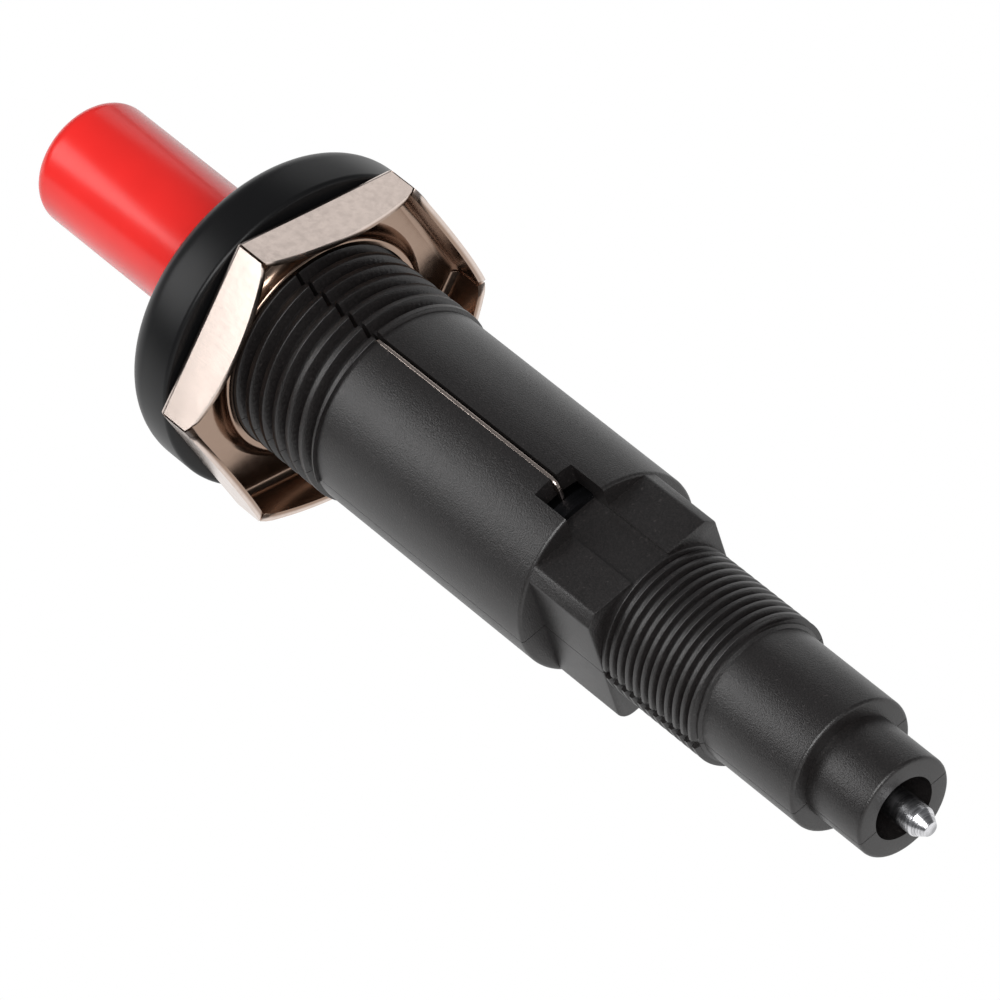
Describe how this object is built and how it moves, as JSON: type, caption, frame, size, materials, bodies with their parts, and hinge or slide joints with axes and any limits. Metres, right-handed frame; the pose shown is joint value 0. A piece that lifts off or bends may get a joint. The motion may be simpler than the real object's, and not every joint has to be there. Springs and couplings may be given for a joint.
{
  "type": "push-button piezo igniter",
  "caption": "Panel-mounted push-button piezo igniter: red button, black flange, stamped hex nut, threaded split barrel with ground strip, stepped rear end and metal terminal pin.",
  "frame": {"origin": "on the axis, where the flange's rear face seats on the panel", "axes": "+Y runs along the barrel towards the terminal pin, with the button towards -Y; +Z is the side of the ground strip; the housing parts on Z = 0"},
  "size_m": [0.0286, 0.1012, 0.0294],
  "materials": {
    "red_plastic": "satin bright red moulding",
    "flange_plastic": "smooth satin black moulding",
    "housing_plastic": "finely textured black moulding",
    "acetal": "natural white moulding",
    "nickel_sheet": "nickel-plated stamped sheet",
    "pin_metal": "turned, with fine rings",
    "inner_steel": "plain turned steel",
    "blackened_steel": "phosphated black",
    "spring_steel": "drawn wire",
    "inner_brass": "plain",
    "piezo_ceramic": "dense fired ceramic with silvered ends"
  },
  "bodies": {
    "housing": {"bezel_flange": "flange_plastic", "housing_upper": "housing_plastic", "housing_lower": "housing_plastic", "ground_strip": "nickel_sheet", "guide_tube": "blackened_steel", "return_spring": "spring_steel", "anvil": "inner_steel", "anvil_seat": "inner_brass", "front_crystal": "piezo_ceramic", "contact_disc": "inner_brass", "rear_crystal": "piezo_ceramic", "piezo_sleeve": "acetal", "rear_contact": "inner_brass", "contact_spring": "spring_steel", "terminal_pin": "pin_metal"},
    "button": {"push_button": "red_plastic", "plunger_sleeve": "acetal", "drive_spring": "spring_steel"},
    "striker": {"hammer": "inner_steel", "cross_pin": "inner_steel"},
    "nut": {"hex_nut": "nickel_sheet"}
  },
  "joints": [
    {"name": "button_press", "type": "slide", "parent": "housing", "child": "button", "axis": [0, 1, 0], "range_m": [0, 0.01], "stiffness_N_per_m": 2000, "springref_m": -0.003, "deforming": ["drive_spring"]},
    {"name": "hammer_strike", "type": "slide", "parent": "housing", "child": "striker", "axis": [0, 1, 0], "range_m": [0, 0.008], "stiffness_N_per_m": 300, "springref_m": -0.003, "deforming": ["return_spring"]},
    {"name": "nut_travel", "type": "slide", "parent": "housing", "child": "nut", "axis": [0, 1, 0], "range_m": [0, 0.006]}
  ]
}
